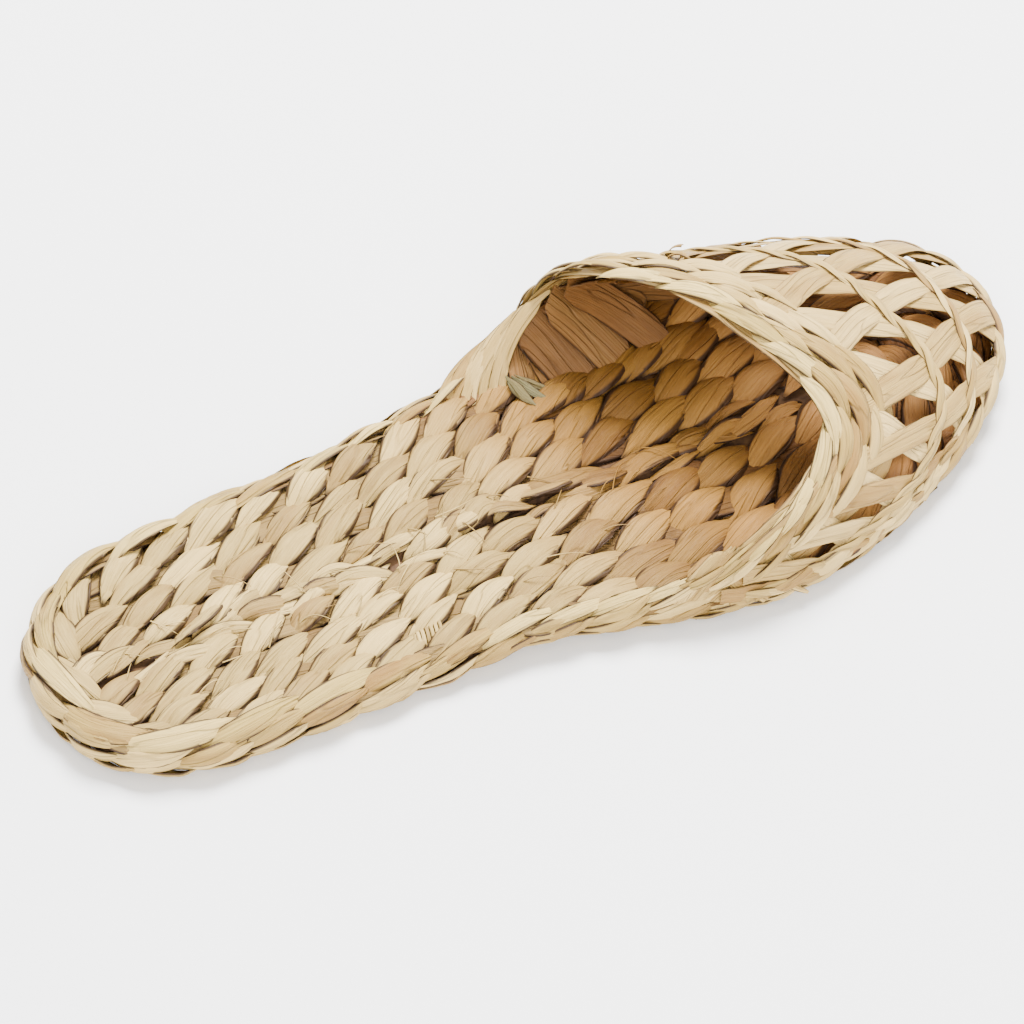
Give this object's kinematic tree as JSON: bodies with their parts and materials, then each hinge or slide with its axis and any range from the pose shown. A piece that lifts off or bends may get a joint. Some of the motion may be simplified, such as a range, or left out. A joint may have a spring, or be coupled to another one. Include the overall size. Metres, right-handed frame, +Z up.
{
  "type": "woven straw slipper",
  "caption": "Open-heeled slipper woven from flat dried leaf strands: thick plaited sole, twined side rows and an open lattice toe cover with a dense collar band.",
  "frame": {"origin": "on the floor, under the middle of the slipper's length and width", "axes": "+X from heel to toe, +Y to the wearer's left (the big toe's side), +Z up"},
  "size_m": [0.2667, 0.1054, 0.0466],
  "materials": {
    "under_mat": "dry matt leaf, darker",
    "top_mat": "dry matt leaf",
    "side_rows": "dry matt leaf",
    "rim_strand": "dry leaf with a slight sheen",
    "lattice": "dry leaf with a slight sheen",
    "weft_cord": "twisted dry leaf"
  },
  "bodies": {
    "root": {"outsole": "under_mat", "footbed": "top_mat", "side_row": "side_rows", "rim": "rim_strand", "upper": "lattice", "weft_row_1": "weft_cord", "weft_row_2": "weft_cord", "toe_cord": "weft_cord"}
  },
  "joints": []
}
